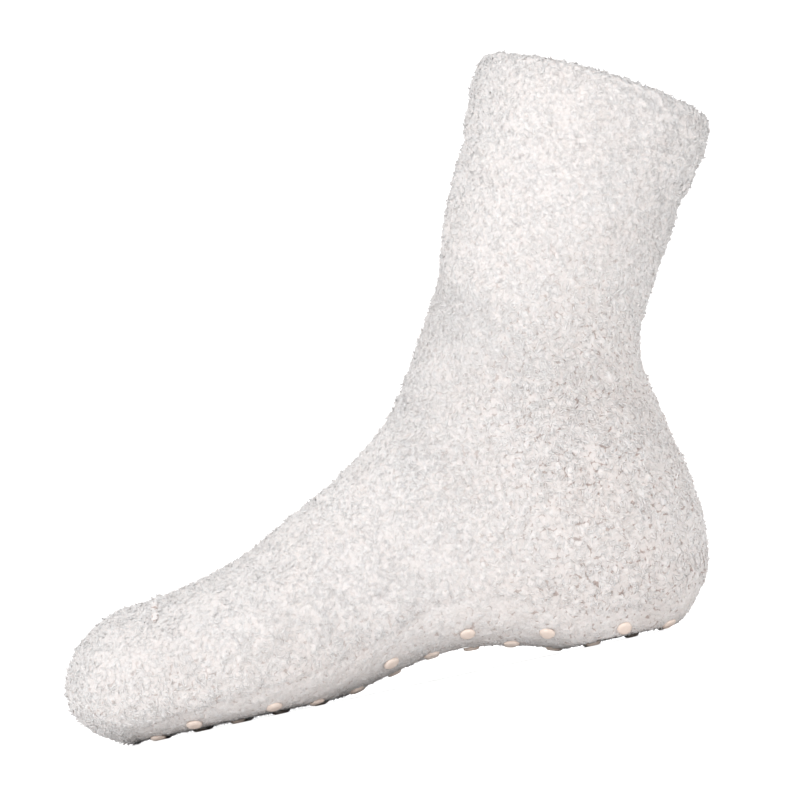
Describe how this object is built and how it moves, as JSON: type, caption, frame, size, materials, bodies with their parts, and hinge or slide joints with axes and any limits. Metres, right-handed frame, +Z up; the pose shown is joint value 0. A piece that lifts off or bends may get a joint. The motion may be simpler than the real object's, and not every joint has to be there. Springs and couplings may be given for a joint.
{
  "type": "house sock",
  "caption": "Fluffy knitted house sock with a turned cuff, a rounded heel and toe, and soft grip dots under a pressed sole, standing open in the shape of a foot.",
  "frame": {"origin": "on the floor, at the tip of the grip dot under the middle of the heel", "axes": "+Z up from the floor, the toe towards -X, the big-toe side towards -Y"},
  "size_m": [0.2795, 0.0972, 0.2242],
  "materials": {
    "chenille_knit": "off-white chenille yarn, deep soft loops with small dark pits between them, fully matt with a faint sheen",
    "linking_yarn": "the same off-white yarn, linked in one row over the toes",
    "grip_rubber": "soft pale peach rubber, smooth and slightly glossy"
  },
  "bodies": {
    "root": {"sock_body": "chenille_knit", "toe_seam": "linking_yarn", "grip_dot_01": "grip_rubber", "grip_dot_02": "grip_rubber", "grip_dot_03": "grip_rubber", "grip_dot_04": "grip_rubber", "grip_dot_05": "grip_rubber", "grip_dot_06": "grip_rubber", "grip_dot_07": "grip_rubber", "grip_dot_08": "grip_rubber", "grip_dot_09": "grip_rubber", "grip_dot_10": "grip_rubber", "grip_dot_11": "grip_rubber", "grip_dot_12": "grip_rubber", "grip_dot_13": "grip_rubber", "grip_dot_14": "grip_rubber", "grip_dot_15": "grip_rubber", "grip_dot_16": "grip_rubber", "grip_dot_17": "grip_rubber", "grip_dot_18": "grip_rubber", "grip_dot_19": "grip_rubber", "grip_dot_20": "grip_rubber", "grip_dot_21": "grip_rubber", "grip_dot_22": "grip_rubber", "grip_dot_23": "grip_rubber", "grip_dot_24": "grip_rubber", "grip_dot_25": "grip_rubber", "grip_dot_26": "grip_rubber", "grip_dot_27": "grip_rubber", "grip_dot_28": "grip_rubber", "grip_dot_29": "grip_rubber", "grip_dot_30": "grip_rubber", "grip_dot_31": "grip_rubber", "grip_dot_32": "grip_rubber", "grip_dot_33": "grip_rubber", "grip_dot_34": "grip_rubber", "grip_dot_35": "grip_rubber", "grip_dot_36": "grip_rubber", "grip_dot_37": "grip_rubber", "grip_dot_38": "grip_rubber", "grip_dot_39": "grip_rubber"}
  },
  "joints": []
}
